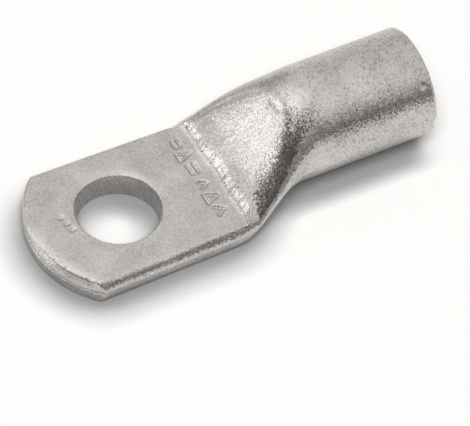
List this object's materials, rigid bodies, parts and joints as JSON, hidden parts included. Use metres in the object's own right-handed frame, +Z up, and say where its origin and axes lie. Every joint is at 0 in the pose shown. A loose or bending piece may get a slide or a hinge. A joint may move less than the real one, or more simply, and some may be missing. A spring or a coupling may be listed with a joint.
{
  "type": "cable lug",
  "caption": "Tubular cable lug: a tinned tube with a round crimp barrel at one end, pressed flat at the other into a palm with a stud hole.",
  "frame": {"origin": "centre of the stud hole on the underside of the palm", "axes": "+X along the tube towards the mouth of the barrel, +Y across the palm, +Z up from the palm's underside along the stud"},
  "size_m": [0.0519, 0.0202, 0.0143],
  "materials": {
    "tinned_copper": "tin-plated copper, tumbled satin with a fine sparkling grain"
  },
  "bodies": {
    "root": {"cable_lug": "tinned_copper"}
  },
  "joints": []
}
